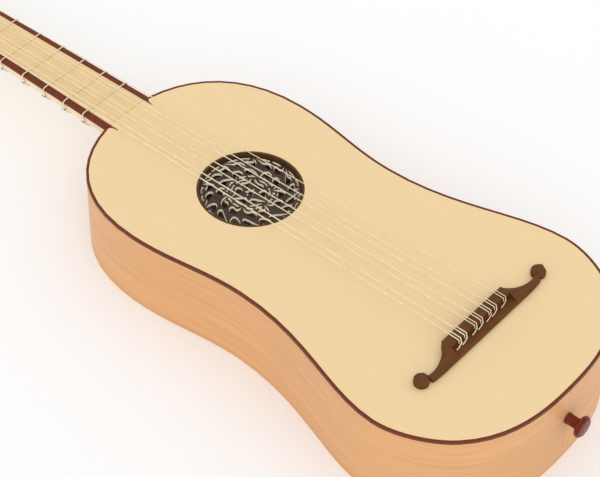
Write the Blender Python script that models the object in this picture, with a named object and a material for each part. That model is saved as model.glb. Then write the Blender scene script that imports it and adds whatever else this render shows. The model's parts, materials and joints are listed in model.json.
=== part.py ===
"""Renaissance guitar, four courses: seven gut strings, tied frets, flat back.

Run with: blender --background --python part.py
Lengths are metres. The instrument is drawn in its own frame: x to the treble side, y from the
bridge to the head, z up, with z = 0 on the soundboard and y = 0 where the strings leave the bridge.
The empty instrument_frame lays that frame down so that the flat back rests on the world's z = 0.
"""
import math

import bmesh
import bpy
from mathutils import Matrix, Vector
from mathutils.geometry import delaunay_2d_cdt

# Clearances
GAP = 0.0003
PEG_CLEARANCE = 0.00025

# Scale and frets
SCALE_LENGTH = 0.540
FRET_COUNT = 8
FRETS_PER_OCTAVE = 12
FRET_GUT_RADIUS = 0.0005

# Body: the outside of the ribs, from the neck joint to the tail
BODY_FRONT = 0.317
BODY_CURVES = (
    # x, y, heading (degrees), handle before, handle after
    (0.0234, BODY_FRONT, -12.0, 0.000, 0.0392),
    (0.0911, 0.2260, -90.0, 0.0545, 0.0346),
    (0.0815, 0.1340, -90.0, 0.0334, 0.0614),
    (0.10925, -0.0041, -90.0, 0.0401, 0.0186),
    (0.0857, -0.0582, -134.7, 0.0174, 0.0369),
    (0.0, -0.0856, -180.0, 0.0244, 0.000),
)
CURVE_STEPS = 10
DEPTH_AT_BRIDGE = 0.0722
DEPTH_TAPER = 0.02486

SOUNDBOARD_THICKNESS = 0.0020
BINDING_WIDTH = 0.0017
BINDING_HEIGHT = 0.0020
RIB_WALL = 0.0018
BACK_THICKNESS = 0.0022
LINING_WIDTH = 0.0055
LINING_HEIGHT = 0.0070
BLOCK_HALF_WIDTH = 0.0215
NECK_BLOCK_LENGTH = 0.026
TAIL_BLOCK_LENGTH = 0.016
BAR_WIDTH = 0.0055
BAR_HEIGHT = 0.0130
BAR_END_HEIGHT = 0.0045
BAR_SCALLOP = 0.022
LOWER_BAR = 0.052
BACK_BARS = (("upper", 0.215), ("lower", 0.030))

# Rose, sunk below the soundboard inside a thin ring
ROSE_CENTRE = 0.1955
ROSE_HOLE_RADIUS = 0.0388
ROSE_RING_WALL = 0.0014
ROSE_SINK = 0.0040
ROSE_TO_BAR = 0.0178
ROSE_THICKNESS = 0.0016
ROSE_CUT_SLOPE = 0.00045
ROSE_SEGMENTS = 48

# Neck, fingerboard and heel
BOARD_THICKNESS = 0.0020
BOARD_EDGE_AT_BODY = 0.0234
BOARD_EDGE_AT_NUT = 0.0191
BOARD_EDGE_ROUND = 0.0012
STRIP_WIDTH_AT_BODY = 0.0052
STRIP_WIDTH_AT_NUT = 0.0045
STRIP_OVERHANG = 0.0012
STRIP_POINT = 0.0067
STRIP_SHOULDER = BODY_FRONT - STRIP_OVERHANG
STRIP_TIP = STRIP_SHOULDER - STRIP_POINT
STRIP_TIP_WIDTH = 0.0002
NECK_DEPTH_AT_BODY = 0.0180
NECK_DEPTH_AT_NUT = 0.0150
NECK_KEEL_HALF = 0.0010
HEEL_LENGTH = 0.0175
HEEL_START = BODY_FRONT + HEEL_LENGTH
HEEL_LIFT = 0.0008
HEEL_KEEL_SHARE = 0.30
NUT_LENGTH = 0.0050
NUT_HEIGHT = 0.0024
NECK_END = SCALE_LENGTH + NUT_LENGTH + 0.0008

# Head and pegs
HEAD_THICKNESS = 0.0110
HEAD_DROP = 0.0003
HEAD_PITCH = 6.0
HEAD_OUTLINE = (
    (0.0191, 0.0), (0.0200, 0.0030), (0.0236, 0.0075), (0.0275, 0.0120), (0.0300, 0.0200),
    (0.0312, 0.0400), (0.0318, 0.0650), (0.0318, 0.0900), (0.0310, 0.1080), (0.0285, 0.1160),
    (0.0240, 0.1200), (0.0185, 0.1205), (0.0140, 0.1180), (0.0110, 0.1200), (0.0080, 0.1245),
    (0.0040, 0.1275), (0.0, 0.1285),
)
PEG_FIRST_ROW = 0.0195
PEG_ROW_SPACING = 0.0265
PEG_SIDE_FIRST = 0.0205
PEG_SIDE = 0.0215
PEG_SHAFT_RADIUS = 0.0033
PEG_POST_RADIUS = 0.0030
PEG_POST_LENGTH = 0.0085
PEG_COLLAR_RADIUS = 0.0050
PEG_STEM_RADIUS = 0.0030
PEG_STEM_LENGTH = 0.0070
PEG_KNOB_RADIUS = 0.0075
PEG_KNOB_LENGTH = 0.0150
PEG_KNOB_FLATNESS = 0.38
PEG_SIDES = 16

# End button
BUTTON_HEIGHT = 0.0315
BUTTON_SHANK_RADIUS = 0.0042
BUTTON_PIN_RADIUS = 0.0036
BUTTON_SHANK_LENGTH = 0.0098
BUTTON_HEAD_RADIUS = 0.0082
BUTTON_HEAD_LENGTH = 0.0052
BUTTON_SIDES = 24

# Bridge: half outlines as (distance from its middle, front y, back y, top height)
BRIDGE_SHIFT = 0.0022
BRIDGE_STATIONS = (
    (0.0000, 0.0000, -0.0157, 0.0080),
    (0.0150, 0.0000, -0.0157, 0.0080),
    (0.0325, 0.0000, -0.0157, 0.0080),
)
BRIDGE_ARM_STATIONS = (
    (0.0328, -0.0004, -0.0157, 0.0078),
    (0.0345, -0.0022, -0.0157, 0.0070),
    (0.0384, -0.0051, -0.0157, 0.0058),
    (0.0420, -0.0072, -0.0157, 0.0050),
    (0.0457, -0.0087, -0.0157, 0.0046),
    (0.0500, -0.0099, -0.0156, 0.0044),
    (0.0545, -0.0104, -0.0154, 0.0043),
    (0.0585, -0.0100, -0.0150, 0.0043),
    (0.0600, -0.0094, -0.0147, 0.0046),
)
BRIDGE_LEDGE_HEIGHT = 0.0031
BRIDGE_BACK_HEIGHT = 0.0036
BRIDGE_TIE_WIDTH = 0.0080
BRIDGE_SCROLL_AT = (0.0652, -0.0090)
BRIDGE_SCROLL_RADIUS = 0.0055
BRIDGE_SCROLL_HEIGHT = 0.0052
STRING_HOLE_HEIGHT = 0.0042
STRING_HOLE_RADIUS = 0.0009

# Strings: name, x at the nut, x at the bridge, radius, peg side and peg row
STRING_HEIGHT_AT_BRIDGE = 0.0078
STRING_SLOT = 0.0005
STRINGS = (
    ("1", 0.0156, 0.0280, 0.00030, 1, 0),
    ("2a", 0.0069, 0.0176, 0.00035, 1, 1),
    ("2b", 0.0039, 0.0114, 0.00035, 1, 2),
    ("3a", -0.0044, 0.0020, 0.00038, -1, 3),
    ("3b", -0.0076, -0.0045, 0.00038, -1, 2),
    ("4a", -0.0139, -0.0158, 0.00045, -1, 1),
    ("4b", -0.0171, -0.0219, 0.00045, -1, 0),
)
WINDING_TURNS = 2.25
WINDING_STEPS = 10
TIE_SPREAD = 0.00115


def clear_scene():
    for item in list(bpy.data.objects):
        bpy.data.objects.remove(item, do_unlink=True)


def linear(byte):
    share = byte / 255
    return share / 12.92 if share <= 0.04045 else ((share + 0.055) / 1.055) ** 2.4


def material(name, red, green, blue, roughness):
    made = bpy.data.materials.new(name)
    made.use_nodes = True
    shader = made.node_tree.nodes["Principled BSDF"]
    shader.inputs["Base Color"].default_value = (linear(red), linear(green), linear(blue), 1)
    shader.inputs["Roughness"].default_value = roughness
    shader.inputs["Metallic"].default_value = 0
    return made


def add_object(name, mesh, surface, frame, smooth_angle=None):
    made = bpy.data.objects.new(name, mesh)
    bpy.context.scene.collection.objects.link(made)
    made.parent = frame
    mesh.materials.clear()
    mesh.materials.append(surface)
    if smooth_angle is not None:
        mesh.shade_smooth()
        mesh.set_sharp_from_angle(angle=math.radians(smooth_angle))
    return made


def mesh_from_bmesh(name, shape):
    bmesh.ops.recalc_face_normals(shape, faces=shape.faces)
    mesh = bpy.data.meshes.new(name)
    shape.to_mesh(mesh)
    shape.free()
    return mesh


def height(level, point):
    """A level is a number, or a function of the plan point."""
    return level(point) if callable(level) else level


def inside(point, loop):
    """Even-odd test of a plan point against a closed loop."""
    within = False
    for (x1, y1), (x2, y2) in zip(loop, loop[1:] + loop[:1]):
        if (y1 > point[1]) != (y2 > point[1]):
            if point[0] < x1 + (point[1] - y1) * (x2 - x1) / (y2 - y1):
                within = not within
    return within


def plate_mesh(name, outline, holes, top, bottom):
    """A flat or sloping plate: plan outline with holes, closed top, bottom and walls."""
    loops = [list(outline)] + [list(hole) for hole in holes]
    points = []
    edges = []
    for loop in loops:
        first = len(points)
        points.extend(loop)
        count = len(loop)
        edges.extend((first + i, first + (i + 1) % count) for i in range(count))
    made = delaunay_2d_cdt([Vector(p) for p in points], edges, [], 0, 1e-7)
    corners = [(c.x, c.y) for c in made[0]]
    shape = bmesh.new()
    uppers = [shape.verts.new((x, y, height(top, (x, y)))) for x, y in corners]
    lowers = [shape.verts.new((x, y, height(bottom, (x, y)))) for x, y in corners]
    walls = {}
    for face in made[2]:
        middle = (sum(corners[i][0] for i in face) / 3, sum(corners[i][1] for i in face) / 3)
        if not inside(middle, loops[0]) or any(inside(middle, hole) for hole in loops[1:]):
            continue
        shape.faces.new([uppers[i] for i in face])
        shape.faces.new([lowers[i] for i in reversed(face)])
        for a, b in zip(face, face[1:] + face[:1]):
            key = (min(a, b), max(a, b))
            walls[key] = walls.get(key, 0) + 1
    for (a, b), uses in walls.items():
        if uses == 1:
            shape.faces.new((uppers[a], uppers[b], lowers[b], lowers[a]))
    bmesh.ops.delete(shape, geom=[v for v in shape.verts if not v.link_faces], context="VERTS")
    return mesh_from_bmesh(name, shape)


def plate(name, outline, top, bottom, surface, frame, holes=(), smooth_angle=35):
    return add_object(name, plate_mesh(name, outline, holes, top, bottom), surface, frame,
                      smooth_angle)


def loft_mesh(name, sections):
    """Closed skin through a row of closed sections with equal point counts."""
    shape = bmesh.new()
    rings = [[shape.verts.new(p) for p in section] for section in sections]
    count = len(rings[0])
    for ring, following in zip(rings, rings[1:]):
        for i in range(count):
            after = (i + 1) % count
            shape.faces.new((ring[i], ring[after], following[after], following[i]))
    shape.faces.new(rings[0])
    shape.faces.new(rings[-1])
    return mesh_from_bmesh(name, shape)


def turned_mesh(name, profile, sides):
    """A solid turned about z from (radius, z) pairs, closed on the axis at both ends."""
    shape = bmesh.new()
    rings = []
    for radius, level in profile:
        turn = [2 * math.pi * i / sides for i in range(sides)]
        rings.append([shape.verts.new((radius * math.cos(a), radius * math.sin(a), level))
                      for a in turn])
    for ring, following in zip(rings, rings[1:]):
        for i in range(sides):
            after = (i + 1) % sides
            shape.faces.new((ring[i], ring[after], following[after], following[i]))
    shape.faces.new(rings[0])
    shape.faces.new(rings[-1])
    return mesh_from_bmesh(name, shape)


def tube(name, points, radius, surface, frame, cyclic=False):
    """A gut string or fret: a POLY curve with a round bevel and filled caps."""
    curve = bpy.data.curves.new(name, "CURVE")
    curve.dimensions = "3D"
    curve.bevel_depth = radius
    curve.bevel_resolution = 1
    curve.use_fill_caps = not cyclic
    spline = curve.splines.new("POLY")
    spline.points.add(len(points) - 1)
    for spot, place in zip(spline.points, points):
        spot.co = (*place, 1)
    spline.use_cyclic_u = cyclic
    spline.use_smooth = True
    curve.materials.append(surface)
    made = bpy.data.objects.new(name, curve)
    bpy.context.scene.collection.objects.link(made)
    made.parent = frame
    return made


def cutter(name, mesh, frame):
    made = bpy.data.objects.new(name, mesh)
    bpy.context.scene.collection.objects.link(made)
    made.parent = frame
    made.hide_render = True
    made.display_type = "WIRE"
    return made


def boolean(target, other, operation):
    modifier = target.modifiers.new(other.name, "BOOLEAN")
    modifier.operation = operation
    modifier.solver = "EXACT"
    modifier.object = other


def bevel(target, width, segments, angle):
    modifier = target.modifiers.new("soft_edges", "BEVEL")
    modifier.width = width
    modifier.segments = segments
    modifier.limit_method = "ANGLE"
    modifier.angle_limit = math.radians(angle)


# Plan of the body

def bezier(start, leave, arrive, end, steps):
    """Points of one cubic curve, without its start."""
    points = []
    for i in range(1, steps + 1):
        t = i / steps
        weights = ((1 - t) ** 3, 3 * (1 - t) ** 2 * t, 3 * (1 - t) * t * t, t ** 3)
        corners = (start, leave, arrive, end)
        points.append(tuple(sum(w * c[k] for w, c in zip(weights, corners)) for k in (0, 1)))
    return points


def half_body():
    """Treble half of the ribs' outside, from the neck joint to the tail."""
    points = [BODY_CURVES[0][:2]]
    for before, after in zip(BODY_CURVES, BODY_CURVES[1:]):
        out = math.radians(before[2])
        back = math.radians(after[2])
        leave = (before[0] + before[4] * math.cos(out), before[1] + before[4] * math.sin(out))
        arrive = (after[0] - after[3] * math.cos(back), after[1] - after[3] * math.sin(back))
        points.extend(bezier(before[:2], leave, arrive, after[:2], CURVE_STEPS))
    points[-1] = (0.0, points[-1][1])
    return points


def inset_half(distance):
    """The half outline moved inwards, from the centre line at the front to that at the tail."""
    line = half_body()
    moved = [(0.0, BODY_FRONT - distance)]
    for i, point in enumerate(line):
        before = line[max(i - 1, 0)]
        after = line[min(i + 1, len(line) - 1)]
        if i == len(line) - 1:
            before = (-line[i - 1][0], line[i - 1][1])
            before, after = line[i - 1], before
        along = Vector((after[0] - before[0], after[1] - before[1])).normalized()
        moved.append((point[0] + along.y * distance, point[1] - along.x * distance))
    moved[1] = (moved[1][0], min(moved[1][1], BODY_FRONT - distance))
    moved[-1] = (0.0, line[-1][1] + distance)
    return moved


def cut_at_x(line, low):
    """The stretch of a half outline that lies outside x = low, with square ends."""
    kept = []
    for a, b in zip(line, line[1:]):
        if (a[0] < low) != (b[0] < low):
            share = (low - a[0]) / (b[0] - a[0])
            kept.append((low, a[1] + share * (b[1] - a[1])))
        if b[0] >= low:
            kept.append(b)
    return kept


def mirrored(points):
    return [(-x, y) for x, y in points]


def sided(points, side):
    return points if side > 0 else mirrored(points)


def whole(half):
    """Closed loop from a half outline that starts and ends on the centre line."""
    return half + mirrored(half[-2:0:-1])


def width_at(line, y):
    """Half width of the widest stretch of a half outline at y."""
    found = 0.0
    for a, b in zip(line, line[1:]):
        if (a[1] - y) * (b[1] - y) <= 0 and a[1] != b[1]:
            found = max(found, a[0] + (b[0] - a[0]) * (y - a[1]) / (b[1] - a[1]))
    return found


def back_level(point):
    """Outside of the back under a plan point."""
    return -(DEPTH_AT_BRIDGE - DEPTH_TAPER * point[1])


def above_back(distance):
    return lambda point: back_level(point) + distance


def blend(y, at_body, at_nut):
    share = (y - BODY_FRONT) / (SCALE_LENGTH - BODY_FRONT)
    return at_body + share * (at_nut - at_body)


def board_edge(y):
    return blend(y, BOARD_EDGE_AT_BODY, BOARD_EDGE_AT_NUT)


def strip_inner(y):
    return board_edge(y) - blend(y, STRIP_WIDTH_AT_BODY, STRIP_WIDTH_AT_NUT)


# Body pieces

def strip_plan():
    """Plan of the treble edge strip: straight sides and a hollow pointed end on the body."""
    end = SCALE_LENGTH - GAP
    start = (board_edge(STRIP_SHOULDER), STRIP_SHOULDER)
    tip = (strip_inner(STRIP_TIP), STRIP_TIP)
    pull = (strip_inner(STRIP_SHOULDER) + 0.0012, STRIP_SHOULDER - 0.0006)
    hollow = bezier(start, pull, pull, tip, 6)
    blunt = (tip[0] + STRIP_TIP_WIDTH, tip[1])
    return [(board_edge(end), end), start] + hollow[:-1] + [blunt, tip, (strip_inner(end), end)]


def grown(loop, distance):
    """A clockwise loop moved outwards, with its sharp corners kept short."""
    moved = []
    for before, point, after in zip(loop[-1:] + loop[:-1], loop, loop[1:] + loop[:1]):
        first = Vector((point[0] - before[0], point[1] - before[1])).normalized()
        second = Vector((after[0] - point[0], after[1] - point[1])).normalized()
        outward = Vector((-first.y - second.y, first.x + second.x)).normalized()
        share = max(0.35, outward.dot(Vector((-first.y, first.x))))
        moved.append((point[0] + outward.x * distance / share,
                      point[1] + outward.y * distance / share))
    return moved


def make_soundboard(frame, woods):
    half = inset_half(BINDING_WIDTH + GAP)
    half = [(0.0, BODY_FRONT), (half[1][0], BODY_FRONT)] + half[1:]
    circle = [(ROSE_HOLE_RADIUS * math.cos(a), ROSE_CENTRE + ROSE_HOLE_RADIUS * math.sin(a))
              for a in (2 * math.pi * i / ROSE_SEGMENTS for i in range(ROSE_SEGMENTS))]
    board = plate("soundboard", whole(half), 0.0, -SOUNDBOARD_THICKNESS, woods["spruce"], frame,
                  [circle])
    for side, word in ((1, "treble"), (-1, "bass")):
        plan = sided(grown(strip_plan(), GAP), side)
        tool = plate_mesh("notch_" + word, plan, (), 0.002, -SOUNDBOARD_THICKNESS - 0.002)
        boolean(board, cutter("notch_" + word, tool, frame), "DIFFERENCE")


def half_band(outer_inset, inner_inset, low_front, low_tail):
    """Plan of a strip that follows the ribs, cut square near the centre line at both ends."""
    def ends(line):
        front = cut_at_x(line, low_front)
        tail = cut_at_x(line, low_tail)
        middle = len(front) // 2
        middle_point = front[middle]
        return front[:middle] + tail[tail.index(middle_point):]
    return ends(inset_half(outer_inset)) + ends(inset_half(inner_inset))[::-1]


def make_binding(side, word, frame, woods):
    low = board_edge(STRIP_SHOULDER) + GAP
    plan = sided(half_band(0.0, BINDING_WIDTH, low, GAP / 2), side)
    plate("binding_" + word, plan, 0.0, -BINDING_HEIGHT, woods["edging"], frame)


def tail_hole(word, frame):
    """A round cutter along y through the tail at the button's height."""
    profile = ((BUTTON_PIN_RADIUS + GAP, 0.0), (BUTTON_PIN_RADIUS + GAP, 0.050))
    mesh = turned_mesh("button_hole_" + word, profile, BUTTON_SIDES)
    tool = cutter("button_hole_" + word, mesh, frame)
    tool.location = (0.0, BODY_CURVES[-1][1] - 0.010, -BUTTON_HEIGHT)
    tool.rotation_euler = (-math.pi / 2, 0, 0)
    return tool


def make_rib(side, word, frame, woods):
    plan = sided(half_band(0.0, RIB_WALL, GAP / 2, GAP / 2), side)
    rib = plate("rib_" + word, plan, -(BINDING_HEIGHT + GAP), above_back(BACK_THICKNESS + GAP),
                woods["cherry"], frame)
    boolean(rib, tail_hole("rib_" + word, frame), "DIFFERENCE")


def make_linings(side, word, frame, woods):
    outer = RIB_WALL + GAP
    plan = sided(half_band(outer, outer + LINING_WIDTH, BLOCK_HALF_WIDTH + GAP,
                           BLOCK_HALF_WIDTH + GAP), side)
    top = -(SOUNDBOARD_THICKNESS + GAP)
    plate("top_lining_" + word, plan, top, top - LINING_HEIGHT, woods["willow"], frame)
    low = BACK_THICKNESS + GAP
    plate("back_lining_" + word, plan, above_back(low + LINING_HEIGHT), above_back(low),
          woods["willow"], frame)


def make_blocks(frame, woods):
    top = -(SOUNDBOARD_THICKNESS + GAP)
    bottom = above_back(BACK_THICKNESS + GAP)
    front = BODY_FRONT - RIB_WALL - GAP
    half = BLOCK_HALF_WIDTH
    plan = [(half, front), (-half, front), (-half, front - NECK_BLOCK_LENGTH),
            (half, front - NECK_BLOCK_LENGTH)]
    plate("neck_block", plan, top, bottom, woods["willow"], frame)
    line = inset_half(RIB_WALL + GAP)
    tail = cut_at_x([p for p in line if p[1] < 0] , 0.0)
    curved = [p for p in tail if p[0] < half]
    edge = cut_at_x([p for p in line if p[1] < 0], half)[-1]
    inner = edge[1] + TAIL_BLOCK_LENGTH
    right = [(half, inner), edge] + curved
    plan = right + mirrored(right[:-1][::-1])
    block = plate("tail_block", plan, top, bottom, woods["willow"], frame)
    boolean(block, tail_hole("tail_block", frame), "DIFFERENCE")


def make_back(frame, woods):
    plate("back", whole(inset_half(0.0)), above_back(BACK_THICKNESS), back_level,
          woods["cherry"], frame)


def make_bar(name, y, low, up, frame, woods):
    """A cross bar with tapered ends between the linings; up is -1 under the soundboard."""
    reach = width_at(inset_half(RIB_WALL + LINING_WIDTH + 2 * GAP), y) - BAR_WIDTH / 2
    outline = [(-reach, 0.0), (reach, 0.0), (reach, BAR_END_HEIGHT),
               (reach - BAR_SCALLOP, BAR_HEIGHT), (-reach + BAR_SCALLOP, BAR_HEIGHT),
               (-reach, BAR_END_HEIGHT)]
    sections = []
    for place in (y - BAR_WIDTH / 2, y + BAR_WIDTH / 2):
        base = height(low, (0.0, place))
        sections.append([(x, place, base + up * rise) for x, rise in outline])
    add_object(name, loft_mesh(name, sections), woods["spruce"], frame)


def make_bars(frame, woods):
    from_rose = ROSE_HOLE_RADIUS + ROSE_TO_BAR
    bars = (("upper", ROSE_CENTRE + from_rose), ("middle", ROSE_CENTRE - from_rose),
            ("lower", LOWER_BAR))
    for word, y in bars:
        make_bar("soundboard_bar_" + word, y, -(SOUNDBOARD_THICKNESS + GAP), -1, frame, woods)
    for word, y in BACK_BARS:
        make_bar("back_bar_" + word, y, above_back(BACK_THICKNESS + GAP), 1, frame, woods)


# Rose

def star(points, reach, waist):
    """A pointed star with straight sides, round the rose's middle."""
    corners = []
    for i in range(2 * points):
        radius = reach if i % 2 == 0 else waist
        angle = math.pi * i / points
        corners.append((radius * math.cos(angle), radius * math.sin(angle)))
    return corners


# One curled drop and the small leaf in its bend, in a cell that runs from -1 to 1 both ways.
DROP = (
    (0.97, 0.97), (0.90, 0.35), (0.65, -0.25), (0.25, -0.72), (-0.28, -0.97), (-0.78, -0.75),
    (-0.97, -0.25), (-0.80, 0.22), (-0.38, 0.38), (0.05, 0.20), (0.40, 0.22), (0.70, 0.52),
)
LEAF = ((-0.97, 0.95), (-0.90, 0.66), (-0.40, 0.72), (0.08, 0.58), (0.52, 0.92), (-0.20, 0.99))
# Rings of cells: inner radius, outer radius, number of cells, which way up (1 or -1)
ROSE_RINGS = (
    (0.0058, 0.0146, 6, 1),
    (0.0158, 0.0252, 12, -1),
    (0.0264, 0.0358, 18, 1),
)
ROSE_LIGAMENT = 0.0013
ROSE_SWIRL = 0.55


def cell_point(u, v, ring, number):
    """Place of a cell's point: every other cell is mirrored and the whole pattern swirls."""
    inner, outer, count, way = ring
    radius = (inner + outer) / 2 + v * way * (outer - inner) / 2
    side = 1 if number % 2 == 0 else -1
    half = math.pi / count - ROSE_LIGAMENT / (inner + outer)
    angle = 2 * math.pi * number / count + u * side * half
    angle += ROSE_SWIRL * (radius / ROSE_HOLE_RADIUS) ** 2
    return (radius * math.cos(angle), radius * math.sin(angle))


def rose_holes():
    holes = [star(6, 0.0046, 0.0022)]
    for ring in ROSE_RINGS:
        for number in range(ring[2]):
            for shape in (DROP, LEAF):
                holes.append([cell_point(u, v, ring, number) for u, v in shape])
    return [[(x, y + ROSE_CENTRE) for x, y in hole] for hole in holes]


def make_rose(frame, woods):
    def circle(radius):
        return [(radius * math.cos(a), ROSE_CENTRE + radius * math.sin(a))
                for a in (2 * math.pi * i / ROSE_SEGMENTS for i in range(ROSE_SEGMENTS))]
    outer = ROSE_HOLE_RADIUS - GAP
    top = -ROSE_SINK
    plate("rose_ring", circle(outer), -GAP, top + GAP, woods["rose_rim"], frame,
          [circle(outer - ROSE_RING_WALL)])
    holes = rose_holes()
    mesh = plate_mesh("rose", circle(outer), holes, top, top - ROSE_THICKNESS)
    narrow = {}
    for hole in holes:
        turning = sum(x1 * y2 - x2 * y1 for (x1, y1), (x2, y2) in zip(hole, hole[1:] + hole[:1]))
        inwards = grown(hole, math.copysign(ROSE_CUT_SLOPE, turning))
        for wide, tight in zip(hole, inwards):
            narrow[(round(wide[0], 6), round(wide[1], 6))] = tight
    for corner in mesh.vertices:
        key = (round(corner.co.x, 6), round(corner.co.y, 6))
        if corner.co.z < top - ROSE_THICKNESS / 2 and key in narrow:
            corner.co.x, corner.co.y = narrow[key]
    add_object("rose", mesh, woods["rose"], frame, 30)


# Neck

def neck_depth(y):
    straight = blend(y, NECK_DEPTH_AT_BODY, NECK_DEPTH_AT_NUT)
    if y >= HEEL_START:
        return straight
    share = (HEEL_START - y) / (HEEL_START - BODY_FRONT)
    full = -back_level((0.0, y)) - HEEL_LIFT - BOARD_THICKNESS - GAP
    return straight + (full - straight) * (1 - math.sqrt(1 - share ** 2.2))


def heel_share(y):
    return max(0.0, (HEEL_START - y) / (HEEL_START - BODY_FRONT)) ** 1.3


def neck_section(y, grow=0.0, steps=7):
    """Half-round section below the fingerboard that turns into the keel of the heel."""
    top = -(BOARD_THICKNESS + GAP)
    depth = neck_depth(y) + grow
    wide = board_edge(y) + grow
    share = heel_share(y)
    right = []
    for i in range(steps + 1):
        t = math.sin(0.5 * math.pi * i / steps)
        round_half = math.sqrt(max(0.0, 1 - t * t))
        heel_half = HEEL_KEEL_SHARE + (1 - HEEL_KEEL_SHARE) * (1 - t) ** 0.8
        half = wide * ((1 - share) * round_half + share * heel_half)
        right.append((max(half, NECK_KEEL_HALF), y, top - depth * t))
    return right + [(-x, place, z) for x, place, z in reversed(right)]


def make_neck(frame, woods):
    start = BODY_FRONT + GAP
    stations = [start + (HEEL_START - start) * s for s in (0, 0.12, 0.27, 0.45, 0.7, 1.0)]
    stations += [HEEL_START + (NECK_END - HEEL_START) * s for s in (0.26, 0.55, 0.78, 1.0)]
    sections = [neck_section(y) for y in stations]
    add_object("neck", loft_mesh("neck", sections), woods["maple"], frame, 40)


def make_fingerboard(frame, woods):
    start = BODY_FRONT + GAP
    end = SCALE_LENGTH - GAP
    plan = [(strip_inner(start) - GAP, start), (strip_inner(end) - GAP, end)]
    plan += mirrored(plan[::-1])
    plate("fingerboard", plan, 0.0, -BOARD_THICKNESS, woods["board"], frame)
    for side, word in ((1, "treble"), (-1, "bass")):
        mesh = loft_mesh("fingerboard_edge_" + word, strip_sections(side))
        add_object("fingerboard_edge_" + word, mesh, woods["edging"], frame, 35)


def strip_section(side, outer, y):
    """Section of an edge strip, with the upper outer corner rounded for the frets."""
    inner = strip_inner(y)
    bend = min(BOARD_EDGE_ROUND, 0.4 * (outer - inner))
    corner = [(outer - bend + bend * math.cos(turn), bend * math.sin(turn) - bend)
              for turn in (math.radians(angle) for angle in (90, 60, 30, 0))]
    line = [(inner, -BOARD_THICKNESS), (inner, 0.0)] + corner + [(outer, -BOARD_THICKNESS)]
    return [(side * x, y, z) for x, z in line]


def strip_sections(side):
    return [strip_section(side, x, y) for x, y in strip_plan()[:-2]]


def string_level(y, radius):
    """Height of a string's middle above the soundboard plane."""
    at_nut = NUT_HEIGHT - STRING_SLOT + radius
    return STRING_HEIGHT_AT_BRIDGE + (at_nut - STRING_HEIGHT_AT_BRIDGE) * y / SCALE_LENGTH


def make_nut(frame, woods):
    half = board_edge(SCALE_LENGTH)
    plan = [(half, SCALE_LENGTH), (half, SCALE_LENGTH + NUT_LENGTH),
            (-half, SCALE_LENGTH + NUT_LENGTH), (-half, SCALE_LENGTH)]
    nut = plate("nut", plan, NUT_HEIGHT, -BOARD_THICKNESS, woods["bone"], frame, smooth_angle=30)
    for name, at_nut, _, radius, _, _ in STRINGS:
        profile = ((radius + GAP, 0.0), (radius + GAP, NUT_LENGTH + 0.004))
        mesh = turned_mesh("slot_" + name, profile, 8)
        tool = cutter("slot_" + name, mesh, frame)
        level = string_level(SCALE_LENGTH, radius)
        tool.location = (at_nut, SCALE_LENGTH - 0.002, level)
        tool.rotation_euler = (-math.pi / 2, 0, 0)
        boolean(nut, tool, "DIFFERENCE")


# Head and pegs

def head_slope():
    return math.tan(math.radians(HEAD_PITCH))


def head_face(point):
    return -HEAD_DROP - (point[1] - NECK_END - GAP) * head_slope()


def peg_place(side, row):
    across = PEG_SIDE_FIRST if row == 0 else PEG_SIDE
    y = SCALE_LENGTH + PEG_FIRST_ROW + NUT_LENGTH + row * PEG_ROW_SPACING
    return (side * across, y)


def peg_matrix(side, row):
    """Peg axis square to the head's face, origin where it meets the face."""
    x, y = peg_place(side, row)
    turn = Matrix.Rotation(-math.radians(HEAD_PITCH), 4, "X")
    return Matrix.Translation((x, y, head_face((x, y)))) @ turn


def make_head(frame, woods):
    start = NECK_END + GAP
    half = [(x, start + along) for x, along in HEAD_OUTLINE]
    plan = half + mirrored(half[-2::-1])
    head = plate("head", plan, head_face, lambda p: head_face(p) - HEAD_THICKNESS,
                 woods["maple"], frame)
    for name, _, _, _, side, row in STRINGS:
        reach = PEG_SHAFT_RADIUS + PEG_CLEARANCE
        mesh = turned_mesh("peg_hole_" + name, ((reach, -0.03), (reach, 0.02)), PEG_SIDES)
        tool = cutter("peg_hole_" + name, mesh, frame)
        tool.matrix_local = peg_matrix(side, row)
        boolean(head, tool, "DIFFERENCE")


def peg_profile():
    """Radius and height from the tip in front of the head down to the knob behind it."""
    under = -HEAD_THICKNESS / math.cos(math.radians(HEAD_PITCH)) - GAP - 2 * PEG_COLLAR_RADIUS * head_slope()
    stem_end = under - 0.0016 - PEG_STEM_LENGTH
    profile = [
        (0.0016, PEG_POST_LENGTH), (PEG_POST_RADIUS - 0.0003, PEG_POST_LENGTH - 0.0006),
        (PEG_POST_RADIUS, PEG_POST_LENGTH - 0.0015), (PEG_POST_RADIUS, 0.0004),
        (PEG_SHAFT_RADIUS, 0.0), (PEG_SHAFT_RADIUS, under - 0.0002),
        (PEG_COLLAR_RADIUS, under - 0.0004), (PEG_COLLAR_RADIUS, under - 0.0014),
        (PEG_STEM_RADIUS, under - 0.0022), (PEG_STEM_RADIUS, stem_end),
    ]
    for i in range(1, 8):
        angle = math.pi * (0.14 + 0.80 * i / 7)
        level = stem_end - PEG_KNOB_LENGTH * (1 - math.cos(math.pi * i / 7)) / 2
        profile.append((PEG_KNOB_RADIUS * math.sin(angle), level))
    return profile, stem_end


def peg_mesh():
    profile, stem_end = peg_profile()
    mesh = turned_mesh("peg", profile, PEG_SIDES)
    for corner in mesh.vertices:
        sunk = min(1.0, max(0.0, (stem_end - corner.co.z) / (0.3 * PEG_KNOB_LENGTH)))
        corner.co.y *= 1 - sunk * (1 - PEG_KNOB_FLATNESS)
    return mesh


def make_pegs(frame, woods):
    for name, _, _, _, side, row in STRINGS:
        peg = add_object("peg_" + name, peg_mesh(), woods["plum"], frame, 40)
        peg.matrix_local = peg_matrix(side, row)


# End button

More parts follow.
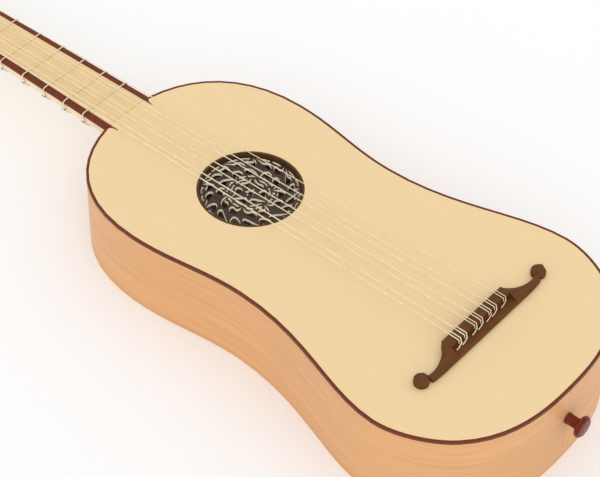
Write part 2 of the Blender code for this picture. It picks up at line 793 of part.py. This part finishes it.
def make_button(frame, woods):
    """Turned about -y: pin in the tail block, shank, then the grooved head."""
    pin = RIB_WALL + GAP + TAIL_BLOCK_LENGTH - 0.002
    head = BUTTON_SHANK_LENGTH
    profile = (
        (0.0020, -pin), (BUTTON_PIN_RADIUS - 0.0004, -pin + 0.0006), (BUTTON_PIN_RADIUS, -0.001),
        (BUTTON_PIN_RADIUS, GAP), (BUTTON_SHANK_RADIUS, GAP), (BUTTON_SHANK_RADIUS - 0.0003, head * 0.5),
        (BUTTON_SHANK_RADIUS, head), (BUTTON_HEAD_RADIUS - 0.0012, head + 0.0002),
        (BUTTON_HEAD_RADIUS, head + 0.0014), (BUTTON_HEAD_RADIUS, head + 0.0026),
        (BUTTON_HEAD_RADIUS - 0.0007, head + 0.0031), (BUTTON_HEAD_RADIUS - 0.0003, head + 0.0036),
        (BUTTON_HEAD_RADIUS - 0.0016, head + 0.0047), (0.0022, head + BUTTON_HEAD_LENGTH),
    )
    mesh = turned_mesh("end_button", profile, BUTTON_SIDES)
    button = add_object("end_button", mesh, woods["plum"], frame, 40)
    button.location = (0.0, BODY_CURVES[-1][1], -BUTTON_HEIGHT)
    button.rotation_euler = (math.pi / 2, 0, 0)


# Bridge

def tie_section(x, front, back, top):
    """Section through the tie block, with the ledge behind it where the strings are knotted."""
    rear = front - BRIDGE_TIE_WIDTH
    return [(x, back, GAP), (x, back, BRIDGE_LEDGE_HEIGHT - 0.0004),
            (x, back + 0.0006, BRIDGE_LEDGE_HEIGHT), (x, rear - 0.0002, BRIDGE_LEDGE_HEIGHT),
            (x, rear, top), (x, front - 0.0006, top), (x, front, top - 0.0006), (x, front, GAP)]


def arm_section(x, front, back, top):
    """Section of an arm, high towards its front and low at its back."""
    ridge = front + (back - front) * 0.40
    shoulder = (front - back) * 0.12
    rear = min(BRIDGE_BACK_HEIGHT, top - 0.0006)
    return [(x, back, GAP), (x, back, rear - 0.0004), (x, back + 0.0005, rear),
            (x, ridge - shoulder, top - 0.0003), (x, ridge, top), (x, front - shoulder, top),
            (x, front, top - 0.0007), (x, front, GAP)]


def scroll_sections():
    """The arm's end, round in plan."""
    middle, level = BRIDGE_SCROLL_AT
    sections = []
    for angle in (150, 125, 100, 75, 50, 30, 15):
        x = middle + BRIDGE_SCROLL_RADIUS * math.cos(math.radians(angle))
        half = BRIDGE_SCROLL_RADIUS * math.sin(math.radians(angle))
        sections.append(arm_section(x, level + half, level - half, BRIDGE_SCROLL_HEIGHT))
    return sections


def make_bridge(frame, woods):
    half = [tie_section(*station) for station in BRIDGE_STATIONS]
    half += [arm_section(*station) for station in BRIDGE_ARM_STATIONS]
    half += scroll_sections()
    left = [[(-x, y, z) for x, y, z in section] for section in half[:0:-1]]
    mesh = loft_mesh("bridge", left + half)
    bridge = add_object("bridge", mesh, woods["walnut"], frame, 35)
    bridge.location = (BRIDGE_SHIFT, 0.0, 0.0)
    for name, _, at_bridge, _, _, _ in STRINGS:
        profile = ((STRING_HOLE_RADIUS, 0.0), (STRING_HOLE_RADIUS, BRIDGE_TIE_WIDTH + 0.004))
        tool = cutter("string_hole_" + name, turned_mesh("string_hole_" + name, profile, 8), frame)
        tool.location = (at_bridge, 0.002, STRING_HOLE_HEIGHT)
        tool.rotation_euler = (math.pi / 2, 0, 0)
        boolean(bridge, tool, "DIFFERENCE")


# Frets and strings

def fret_loop(y):
    """Closed loop round neck and fingerboard, one gut radius and the gap away from them."""
    away = FRET_GUT_RADIUS + GAP
    side = board_edge(y)
    bend = BOARD_EDGE_ROUND + away
    turns = [math.radians(angle) for angle in (90, 60, 30, 0)]
    top = [(side - BOARD_EDGE_ROUND + bend * math.cos(turn), bend * math.sin(turn) - BOARD_EDGE_ROUND)
           for turn in turns]
    under = [(x, z) for x, _, z in neck_section(y, away)[1:8]]
    right = top + under
    return [(x, 0.0, z) for x, z in right] + [(-x, 0.0, z) for x, z in reversed(right)]


def make_frets(frame, woods):
    for number in range(1, FRET_COUNT + 1):
        y = SCALE_LENGTH * 2 ** (-number / FRETS_PER_OCTAVE)
        name = "fret_%d" % number
        fret = tube(name, fret_loop(y), FRET_GUT_RADIUS, woods["gut"], frame, cyclic=True)
        fret.location = (0.0, y, 0.0)


def winding(side, row, radius):
    """Turns of string round the peg's post, starting on its inner side towards the nut."""
    place = peg_matrix(side, row)
    round_radius = PEG_POST_RADIUS + GAP + radius
    rise = 2 * radius + 0.00045
    count = int(WINDING_TURNS * WINDING_STEPS)
    points = []
    for i in range(count + 1):
        turn = i / WINDING_STEPS
        angle = 2 * math.pi * turn
        level = 0.0009 + radius + rise * turn
        points.append(place @ Vector((-side * round_radius * math.cos(angle),
                                      round_radius * math.sin(angle), level)))
    return points


def tie(x, radius):
    """Knot at the bridge, from where the string is hooked in front of the tie block."""
    top = BRIDGE_STATIONS[0][3] + GAP + radius
    level = STRING_HEIGHT_AT_BRIDGE
    hole = STRING_HOLE_HEIGHT
    back = -BRIDGE_TIE_WIDTH - 0.0002
    near = GAP + radius
    spread = TIE_SPREAD
    hook = level - 2 * radius - 0.0005
    return [
        (x, 0.0019, level), (x, 0.0012, level - 0.0006), (x, near + 0.0002, level - 0.0018),
        (x, near, hole + 0.0006), (x, near * 0.6, hole + 0.0001), (x, -0.0006, hole),
        (x, back + 0.0006, hole), (x, back - near * 0.7, hole + 0.0002),
        (x - spread * 0.4, back - near, hole + 0.0010), (x - spread, back - near, top - 0.0014),
        (x - spread, back - near * 0.75, top - 0.0004), (x - spread, back, top),
        (x - spread, -0.0006, top), (x - spread, 0.0008, top - 0.0003),
        (x - spread * 1.05, 0.0020, top - 0.0013),
        (x - spread * 0.75, 0.0025 + radius, hook - 0.0004),
        (x, 0.0026 + radius, hook - 0.0006), (x + spread * 0.75, 0.0025 + radius, hook - 0.0004),
        (x + spread * 1.05, 0.0020, top - 0.0013), (x + spread, 0.0008, top - 0.0003),
        (x + spread, -0.0006, top), (x + spread, back, top),
        (x + spread, back - near * 0.8, top - 0.0005), (x + spread * 0.8, back - near, top - 0.0015),
        (x, back - 3 * near, hole + 0.0020),
        (x - 0.0028, back - 3.4 * near, BRIDGE_LEDGE_HEIGHT + GAP + radius + 0.0006),
        (x - 0.0055, back - 3.6 * near, BRIDGE_LEDGE_HEIGHT + GAP + radius + 0.0001),
    ]


def make_strings(frame, woods):
    for name, at_nut, at_bridge, radius, side, row in STRINGS:
        level = string_level(SCALE_LENGTH, radius)
        wound = [tuple(p) for p in winding(side, row, radius)]
        over_nut = [(at_nut, SCALE_LENGTH + NUT_LENGTH + GAP, level),
                    (at_nut, SCALE_LENGTH, level)]
        points = wound[::-1] + over_nut + tie(at_bridge, radius)
        tube("string_" + name, points, radius, woods["gut"], frame)


def make_woods():
    return {
        "spruce": material("spruce", 241, 211, 162, 0.55),
        "cherry": material("cherry", 222, 170, 120, 0.40),
        "edging": material("edging", 98, 32, 12, 0.40),
        "maple": material("maple", 238, 214, 178, 0.45),
        "board": material("board", 233, 201, 153, 0.50),
        "willow": material("willow", 225, 203, 165, 0.70),
        "walnut": material("walnut", 100, 64, 42, 0.55),
        "plum": material("plum", 110, 40, 14, 0.35),
        "rose_rim": material("rose_rim", 78, 52, 26, 0.60),
        "rose": material("rose", 52, 38, 34, 0.60),
        "bone": material("bone", 236, 226, 200, 0.35),
        "gut": material("gut", 240, 226, 190, 0.35),
    }


def make_frame():
    """Lays the instrument on its back: the world's origin is on the back, under y = 0."""
    frame = bpy.data.objects.new("instrument_frame", None)
    bpy.context.scene.collection.objects.link(frame)
    lean = math.atan(DEPTH_TAPER)
    frame.rotation_euler = (-lean, 0, 0)
    frame.location = (0.0, DEPTH_AT_BRIDGE * math.sin(lean), DEPTH_AT_BRIDGE * math.cos(lean))
    return frame


def main():
    clear_scene()
    frame = make_frame()
    woods = make_woods()
    make_soundboard(frame, woods)
    for side, word in ((1, "treble"), (-1, "bass")):
        make_binding(side, word, frame, woods)
        make_rib(side, word, frame, woods)
        make_linings(side, word, frame, woods)
    make_blocks(frame, woods)
    make_back(frame, woods)
    make_bars(frame, woods)
    make_rose(frame, woods)
    make_neck(frame, woods)
    make_fingerboard(frame, woods)
    make_nut(frame, woods)
    make_head(frame, woods)
    make_pegs(frame, woods)
    make_button(frame, woods)
    make_bridge(frame, woods)
    make_frets(frame, woods)
    make_strings(frame, woods)


main()
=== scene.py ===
"""Looks of the renaissance guitar: procedural woods and gut, camera and studio."""
import json
import math

import bmesh
import bpy
from mathutils import Matrix, Vector


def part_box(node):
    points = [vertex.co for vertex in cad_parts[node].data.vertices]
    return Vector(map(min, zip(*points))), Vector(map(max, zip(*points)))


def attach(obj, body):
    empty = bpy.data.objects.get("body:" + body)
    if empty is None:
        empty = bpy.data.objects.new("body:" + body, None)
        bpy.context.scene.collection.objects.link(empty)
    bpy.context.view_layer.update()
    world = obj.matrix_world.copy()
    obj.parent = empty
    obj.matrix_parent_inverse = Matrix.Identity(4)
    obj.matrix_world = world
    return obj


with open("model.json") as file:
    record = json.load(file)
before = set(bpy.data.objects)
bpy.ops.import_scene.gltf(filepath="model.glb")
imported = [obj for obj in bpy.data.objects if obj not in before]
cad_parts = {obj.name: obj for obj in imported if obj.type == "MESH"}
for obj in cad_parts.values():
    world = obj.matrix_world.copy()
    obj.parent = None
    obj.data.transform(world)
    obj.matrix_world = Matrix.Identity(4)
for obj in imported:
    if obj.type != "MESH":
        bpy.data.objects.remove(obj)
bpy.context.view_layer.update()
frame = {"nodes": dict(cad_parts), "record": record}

# Camera, in the instrument's own frame: origin where the strings leave the bridge, z square to
# the soundboard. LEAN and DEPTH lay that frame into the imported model's, which rests on its back.
LEAN = math.atan(0.02486)
DEPTH = 0.0722
CAMERA_AT = (-0.80736, -0.51597, 1.05906)
CAMERA_RIGHT = (0.648013, -0.761464, 0.015858)
CAMERA_DOWN = (-0.539682, -0.473768, -0.695911)
CAMERA_FORWARD = (0.537421, 0.442399, -0.717956)
LENS = 126.64
SENSOR = 36.0
CLIP_START = 0.05

# Sockets of the colour Mix node, which share their names with its other data types
MIX_FACTOR = 0
MIX_FIRST = 6
MIX_SECOND = 7
MIX_RESULT = 2

# Woods: how far the roughness swings with the grain, the varnish's roughness, the grain's relief
ROUGHNESS_SWING = 0.06
COAT_ROUGHNESS = 0.35
GRAIN_BUMP = 0.25
GRAIN_DEPTH = 0.00005

# Colours as written in an 8-bit picture
SPRUCE = (245, 215, 163)
CHERRY = (233, 175, 119)
EDGING = (118, 44, 10)
MAPLE = (250, 226, 190)
BOARD = (246, 214, 160)
WILLOW = (225, 203, 165)
WALNUT = (112, 66, 28)
PLUM = (122, 36, 4)
ROSE_RIM = (92, 60, 26)
ROSE_FACE_DARK = (40, 26, 20)
ROSE_FACE_LIGHT = (70, 48, 34)
ROSE_CUT_DARK = (226, 208, 180)
ROSE_CUT_LIGHT = (250, 242, 224)
BONE_DARK = (226, 214, 186)
BONE_LIGHT = (242, 234, 212)
GUT_DARK = (228, 208, 164)
GUT_LIGHT = (250, 240, 212)
BURNT_GUT = (74, 44, 22)

# Rose: where the upright part of the surface's normal is smaller than this, it is a cut edge
ROSE_FACE_NORMAL = 0.9
ROSE_ROUGHNESS = 0.6

# Knots of the frets, at the bass side just under the fingerboard
FRET_COUNT = 8
KNOT_SEGMENTS = 14
KNOT_RINGS = 9
KNOT_SIZE = (0.0010, 0.0014, 0.0016)
KNOT_BELOW_BOARD = 0.0062
KNOT_END_RADIUS = 0.0005
KNOT_END_LENGTH = 0.0022
KNOT_END_FROM_KNOT = (-0.0002, 0.0007, -0.0013)
KNOT_END_SPREAD = math.radians(32)
KNOT_END_SEGMENTS = 10
KNOT_END_TAPER = 0.8
GUT_RADIUS = 0.0005

# Studio
FLOOR_SIZE = 6.0
FLOOR_COLOUR = (0.96, 0.96, 0.96, 1)
FLOOR_ROUGHNESS = 0.9
FLOOR_GLOW = 0.05
WHITE = (1, 1, 1, 1)
WORLD_STRENGTH = 0.86
KEY_STRENGTH = 0.62
KEY_TURN = (math.radians(40), math.radians(-30), math.radians(-25))
KEY_SOFTNESS = math.radians(50)


def linear(byte):
    share = byte / 255
    return share / 12.92 if share <= 0.04045 else ((share + 0.055) / 1.055) ** 2.4


def colour(rgb):
    return (linear(rgb[0]), linear(rgb[1]), linear(rgb[2]), 1)


def shade(rgb, factor):
    return tuple(min(255, value * factor) for value in rgb)


def new_material(name):
    made = bpy.data.materials.new(name)
    made.use_nodes = True
    return made, made.node_tree, made.node_tree.nodes["Principled BSDF"]


def add(tree, kind, **values):
    """A shader node with its inputs set by name, spaces written as underscores."""
    made = tree.nodes.new(kind)
    for key, value in values.items():
        made.inputs[key.replace("_", " ")].default_value = value
    return made


def place(tree, scale):
    """Coordinates that stay with the piece, stretched by the three scales."""
    where = tree.nodes.new("ShaderNodeTexCoord")
    stretch = add(tree, "ShaderNodeMapping", Scale=scale)
    tree.links.new(where.outputs["Object"], stretch.inputs["Vector"])
    return stretch.outputs["Vector"]


def noise(tree, scale, detail=4.0, rough=0.55, twist=0.0):
    made = add(tree, "ShaderNodeTexNoise", Scale=1.0, Detail=detail, Roughness=rough,
               Distortion=twist)
    tree.links.new(place(tree, scale), made.inputs["Vector"])
    return made.outputs["Fac"]


def ramp(tree, factor, low, high, dark, light):
    made = tree.nodes.new("ShaderNodeValToRGB")
    made.color_ramp.elements[0].position = low
    made.color_ramp.elements[0].color = colour(dark)
    made.color_ramp.elements[1].position = high
    made.color_ramp.elements[1].color = colour(light)
    tree.links.new(factor, made.inputs["Fac"])
    return made.outputs["Color"]


def mix(tree, factor, first, second):
    """Two colours mixed by a number or by another node's output."""
    made = tree.nodes.new("ShaderNodeMix")
    made.data_type = "RGBA"
    if hasattr(factor, "node"):
        tree.links.new(factor, made.inputs[MIX_FACTOR])
    else:
        made.inputs[MIX_FACTOR].default_value = factor
    tree.links.new(first, made.inputs[MIX_FIRST])
    tree.links.new(second, made.inputs[MIX_SECOND])
    return made.outputs[MIX_RESULT]


def rescale(tree, factor, low, high):
    made = add(tree, "ShaderNodeMapRange", To_Min=low, To_Max=high)
    tree.links.new(factor, made.inputs["Value"])
    return made.outputs["Result"]


def bump(tree, shader, level, strength, depth):
    made = add(tree, "ShaderNodeBump", Strength=strength, Distance=depth)
    tree.links.new(level, made.inputs["Height"])
    tree.links.new(made.outputs["Normal"], shader.inputs["Normal"])


def wood(name, rgb, fine, broad, contrast, roughness, coat=0.0, shine=0.3):
    """Fine grain lines over slow changes of tone; fine and broad are the stretches of each."""
    made, tree, shader = new_material(name)
    lines = noise(tree, fine, detail=6.0, rough=0.6)
    tone = noise(tree, broad, detail=2.0, rough=0.5, twist=0.3)
    dark = shade(rgb, 1 - contrast)
    light = shade(rgb, 1 + 0.3 * contrast)
    grain = ramp(tree, lines, 0.30, 0.70, dark, light)
    drift = ramp(tree, tone, 0.25, 0.75, shade(rgb, 1 - 0.6 * contrast), rgb)
    tree.links.new(mix(tree, 0.5, grain, drift), shader.inputs["Base Color"])
    sheen = rescale(tree, lines, roughness + ROUGHNESS_SWING, roughness - ROUGHNESS_SWING)
    tree.links.new(sheen, shader.inputs["Roughness"])
    shader.inputs["Specular IOR Level"].default_value = shine
    shader.inputs["Coat Weight"].default_value = coat
    shader.inputs["Coat Roughness"].default_value = COAT_ROUGHNESS
    bump(tree, shader, lines, GRAIN_BUMP, GRAIN_DEPTH)
    return made


def spruce():
    """Quarter-sawn soundboard: narrow, even year lines along the strings."""
    made, tree, shader = new_material("soundboard_spruce")
    rings = add(tree, "ShaderNodeTexWave", Scale=260.0, Distortion=1.2, Detail=2.0,
                Detail_Scale=0.4)
    rings.bands_direction = "X"
    tree.links.new(place(tree, (1.0, 0.04, 1.0)), rings.inputs["Vector"])
    lines = ramp(tree, rings.outputs["Fac"], 0.0, 1.0, shade(SPRUCE, 0.965), SPRUCE)
    silk = noise(tree, (420, 30, 420), detail=5.0)
    silky = ramp(tree, silk, 0.35, 0.65, shade(SPRUCE, 0.97), shade(SPRUCE, 1.01))
    tone = noise(tree, (9, 2, 9), detail=2.0)
    drift = ramp(tree, tone, 0.3, 0.7, shade(SPRUCE, 0.985), SPRUCE)
    mixed = mix(tree, 0.5, lines, silky)
    tree.links.new(mix(tree, 0.35, mixed, drift), shader.inputs["Base Color"])
    tree.links.new(rescale(tree, silk, 0.50, 0.40), shader.inputs["Roughness"])
    bump(tree, shader, silk, 0.15, 0.00003)
    return made


def fretwork():
    """Rose: dark faces above and below, pale where the pattern was cut through."""
    made, tree, shader = new_material("rose_fretwork")
    facing = tree.nodes.new("ShaderNodeNewGeometry")
    parts = tree.nodes.new("ShaderNodeSeparateXYZ")
    tree.links.new(facing.outputs["True Normal"], parts.inputs["Vector"])
    upright = tree.nodes.new("ShaderNodeMath")
    upright.operation = "ABSOLUTE"
    tree.links.new(parts.outputs["Z"], upright.inputs[0])
    face = ramp(tree, noise(tree, (260, 90, 260)), 0.3, 0.7, ROSE_FACE_DARK, ROSE_FACE_LIGHT)
    cut = ramp(tree, noise(tree, (300, 300, 900)), 0.3, 0.7, ROSE_CUT_DARK, ROSE_CUT_LIGHT)
    is_face = tree.nodes.new("ShaderNodeMath")
    is_face.operation = "GREATER_THAN"
    is_face.inputs[1].default_value = ROSE_FACE_NORMAL
    tree.links.new(upright.outputs["Value"], is_face.inputs[0])
    tree.links.new(mix(tree, is_face.outputs["Value"], cut, face), shader.inputs["Base Color"])
    shader.inputs["Roughness"].default_value = ROSE_ROUGHNESS
    return made


def gut():
    """Twisted gut: pale, with a fine uneven surface."""
    made, tree, shader = new_material("gut_string")
    tone = noise(tree, (700, 160, 700), detail=3.0, twist=1.0)
    tint = ramp(tree, tone, 0.3, 0.7, GUT_DARK, GUT_LIGHT)
    tree.links.new(tint, shader.inputs["Base Color"])
    tree.links.new(rescale(tree, tone, 0.45, 0.30), shader.inputs["Roughness"])
    bump(tree, shader, tone, 0.3, 0.00004)
    return made


def bone():
    """Polished bone of the nut, faintly streaked."""
    made, tree, shader = new_material("nut_bone")
    tone = noise(tree, (300, 900, 300), detail=5.0)
    tint = ramp(tree, tone, 0.3, 0.7, BONE_DARK, BONE_LIGHT)
    tree.links.new(tint, shader.inputs["Base Color"])
    tree.links.new(rescale(tree, tone, 0.38, 0.28), shader.inputs["Roughness"])
    return made


def finishes():
    lengthwise = (500, 14, 500)
    rib_grain = (10, 10, 620)
    return {
        "spruce": spruce(),
        "cherry": wood("rib_cherry", CHERRY, rib_grain, (3, 3, 40), 0.14, 0.42, coat=0.08),
        "edging": wood("edging_wood", EDGING, (300, 300, 300), (20, 20, 20), 0.25, 0.40),
        "maple": wood("neck_maple", MAPLE, lengthwise, (30, 4, 30), 0.07, 0.45),
        "board": wood("fingerboard_wood", BOARD, lengthwise, (40, 5, 40), 0.08, 0.48),
        "willow": wood("inner_willow", WILLOW, lengthwise, (30, 8, 30), 0.08, 0.70),
        "walnut": wood("bridge_walnut", WALNUT, (60, 900, 900), (20, 90, 90), 0.40, 0.55,
                       shine=0.2),
        "plum": wood("plum_wood", PLUM, (400, 60, 400), (60, 20, 60), 0.30, 0.30, shine=0.35),
        "rose_rim": wood("rose_rim_wood", ROSE_RIM, (200, 200, 200), (30, 30, 30), 0.3, 0.6),
        "rose": fretwork(),
        "bone": bone(),
        "gut": gut(),
    }


def dress(made):
    """Each CAD piece gets the material of its slot."""
    for part in frame["record"]["subparts"]:
        mesh = frame["nodes"][part["node"]].data
        mesh.materials.clear()
        mesh.materials.append(made[part["material_slot"]])


def link(made):
    bpy.context.scene.collection.objects.link(made)


def knot_piece(name, shape, at, size, turn, surface, body):
    """A small closed piece of gut from a bmesh, placed and riding on a CAD body."""
    mesh = bpy.data.meshes.new(name)
    bmesh.ops.transform(shape, matrix=turn @ Matrix.Diagonal((*size, 1)), verts=shape.verts)
    bmesh.ops.translate(shape, vec=at, verts=shape.verts)
    shape.to_mesh(mesh)
    shape.free()
    mesh.shade_smooth()
    mesh.materials.append(surface)
    made = bpy.data.objects.new(name, mesh)
    link(made)
    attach(made, body)


def make_knots(surface, burnt):
    """Each tied fret's knot and its two burnt ends."""
    end_size = (KNOT_END_RADIUS, KNOT_END_RADIUS, KNOT_END_LENGTH)
    out, apart, down = KNOT_END_FROM_KNOT
    for number in range(1, FRET_COUNT + 1):
        fret = "fret_%d" % number
        low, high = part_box(fret)
        at = Vector((low[0] + GUT_RADIUS, (low[1] + high[1]) / 2, high[2] - KNOT_BELOW_BOARD))
        knot = bmesh.new()
        bmesh.ops.create_uvsphere(knot, u_segments=KNOT_SEGMENTS, v_segments=KNOT_RINGS,
                                  radius=1.0)
        knot_piece("knot_%d" % number, knot, at, KNOT_SIZE, Matrix.Identity(4), surface, fret)
        for side, letter in ((-1, "a"), (1, "b")):
            end = bmesh.new()
            bmesh.ops.create_cone(end, cap_ends=True, segments=KNOT_END_SEGMENTS, radius1=1.0,
                                  radius2=KNOT_END_TAPER, depth=1.0)
            turn = Matrix.Rotation(side * KNOT_END_SPREAD, 4, "X")
            below = at + Vector((out, side * apart, down))
            name = "knot_%d_end_%s" % (number, letter)
            knot_piece(name, end, below, end_size, turn, burnt, fret)


def make_floor():
    bpy.ops.mesh.primitive_plane_add(size=FLOOR_SIZE)
    floor = bpy.context.object
    floor.name = "studio_floor"
    made, _, shader = new_material("studio_floor")
    shader.inputs["Base Color"].default_value = FLOOR_COLOUR
    shader.inputs["Roughness"].default_value = FLOOR_ROUGHNESS
    shader.inputs["Specular IOR Level"].default_value = 0.0
    shader.inputs["Emission Color"].default_value = WHITE
    shader.inputs["Emission Strength"].default_value = FLOOR_GLOW
    floor.data.materials.append(made)


def make_light():
    """A white background to the camera, a plain even world on the object and one soft sun."""
    world = bpy.data.worlds.new("studio")
    bpy.context.scene.world = world
    world.use_nodes = True
    tree = world.node_tree
    tree.nodes.clear()
    seen = add(tree, "ShaderNodeBackground", Color=WHITE, Strength=1.0)
    lit = add(tree, "ShaderNodeBackground", Color=WHITE, Strength=WORLD_STRENGTH)
    path = tree.nodes.new("ShaderNodeLightPath")
    chosen = tree.nodes.new("ShaderNodeMixShader")
    out = tree.nodes.new("ShaderNodeOutputWorld")
    tree.links.new(path.outputs["Is Camera Ray"], chosen.inputs[0])
    tree.links.new(lit.outputs[0], chosen.inputs[1])
    tree.links.new(seen.outputs[0], chosen.inputs[2])
    tree.links.new(chosen.outputs[0], out.inputs["Surface"])
    key = bpy.data.lights.new("key", "SUN")
    key.energy = KEY_STRENGTH
    key.angle = KEY_SOFTNESS
    holder = bpy.data.objects.new("key", key)
    link(holder)
    holder.rotation_euler = KEY_TURN


def make_camera():
    lay = Matrix.Rotation(-LEAN, 4, "X")
    lay.translation = Vector((0.0, DEPTH * math.sin(LEAN), DEPTH * math.cos(LEAN)))
    data = bpy.data.cameras.new("camera")
    data.lens = LENS
    data.sensor_width = SENSOR
    data.clip_start = CLIP_START
    camera = bpy.data.objects.new("camera", data)
    link(camera)
    axes = (Vector(CAMERA_RIGHT), -Vector(CAMERA_DOWN), -Vector(CAMERA_FORWARD))
    turn = Matrix(axes).transposed().to_4x4()
    camera.matrix_world = lay @ Matrix.Translation(CAMERA_AT) @ turn
    bpy.context.scene.camera = camera


looks = finishes()
dress(looks)
burnt_gut = wood("burnt_gut", BURNT_GUT, (600, 600, 600), (90, 90, 90), 0.3, 0.5)
make_knots(looks["gut"], burnt_gut)
make_floor()
make_light()
make_camera()
bpy.context.scene.view_settings.view_transform = "Standard"
